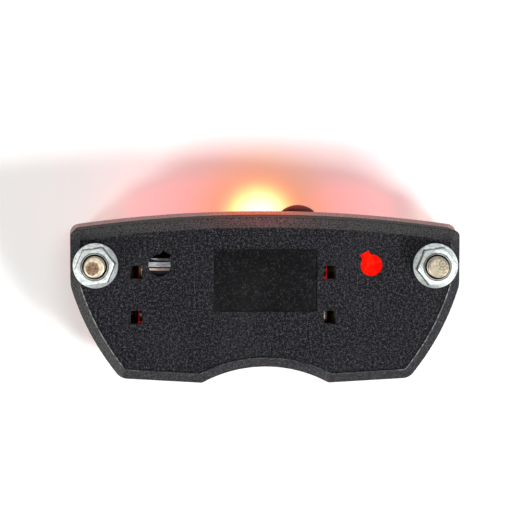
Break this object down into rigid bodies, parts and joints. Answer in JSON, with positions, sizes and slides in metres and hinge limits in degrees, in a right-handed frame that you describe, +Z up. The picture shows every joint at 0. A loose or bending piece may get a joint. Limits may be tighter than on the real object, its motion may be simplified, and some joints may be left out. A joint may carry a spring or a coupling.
{
  "type": "bicycle tail light",
  "caption": "Rack-mounted battery tail light for a bicycle: black rear housing with two threaded studs and flanged nuts, red lens with reflex panels, and a push button on top.",
  "frame": {"origin": "midway between the two mounting studs, on the recessed plate of the rear housing", "axes": "-Y points out of the back towards the rack, +Y the way the light shines, +X to the right seen from the back, +Z up"},
  "size_m": [0.0936, 0.0382, 0.0423],
  "materials": {
    "black_moulding": "fine spark-eroded texture",
    "red_lens": "polished translucent",
    "red_prisms": "polished translucent",
    "zinc": "bright zinc plated",
    "bolt_steel": "plated, turned end",
    "button_rubber": "satin",
    "seal_rubber": "matt",
    "cell_jacket": "printed sleeve",
    "contact_metal": "nickel plated spring strip",
    "board_green": "coated laminate",
    "diode_red": "clear red resin",
    "lead_metal": "tinned",
    "spacer_black": "matt",
    "switch_black": "matt",
    "plunger_white": "matt",
    "chip_black": "matt",
    "inductor_grey": "sintered",
    "capacitor_tan": "satin",
    "resistor_dark": "glazed",
    "screw_steel": "plated"
  },
  "bodies": {
    "housing": {"rear_housing": "black_moulding", "bolt_left": "bolt_steel", "bolt_right": "bolt_steel", "cell_upper": "cell_jacket", "cell_lower": "cell_jacket", "contact_bridge": "contact_metal", "contact_positive": "contact_metal", "contact_negative": "contact_metal", "circuit_board": "board_green", "led": "diode_red", "led_leads": "lead_metal", "led_spacer": "spacer_black", "switch_body": "switch_black", "cover_seal": "seal_rubber", "driver_chip": "chip_black", "chip_leads": "lead_metal", "boost_inductor": "inductor_grey", "capacitor": "capacitor_tan", "resistors": "resistor_dark"},
    "lens": {"lens_cover": "red_lens", "cover_screws": "screw_steel", "reflector_left": "red_prisms", "reflector_right": "red_prisms"},
    "button": {"push_button": "button_rubber"},
    "plunger": {"switch_plunger": "plunger_white"},
    "nut_left": {"nut_left": "zinc"},
    "nut_right": {"nut_right": "zinc"}
  },
  "joints": [
    {"name": "cover_lift", "type": "slide", "parent": "housing", "child": "lens", "axis": [0, 1, 0], "range_m": [0, 0.02]},
    {"name": "button_press", "type": "slide", "parent": "lens", "child": "button", "axis": [0, 0, -1], "range_m": [0, 0.0005], "stiffness_N_per_m": 2000, "springref_m": -0.0003},
    {"name": "plunger_press", "type": "slide", "parent": "housing", "child": "plunger", "axis": [0, 0, -1], "range_m": [0, 0.0005]},
    {"name": "nut_left_off", "type": "slide", "parent": "housing", "child": "nut_left", "axis": [0, -1, 0], "range_m": [0, 0.009]},
    {"name": "nut_right_off", "type": "slide", "parent": "housing", "child": "nut_right", "axis": [0, -1, 0], "range_m": [0, 0.009]}
  ],
  "couplings": [
    {"joint": "plunger_press", "follows": "button_press", "ratio": 1}
  ]
}
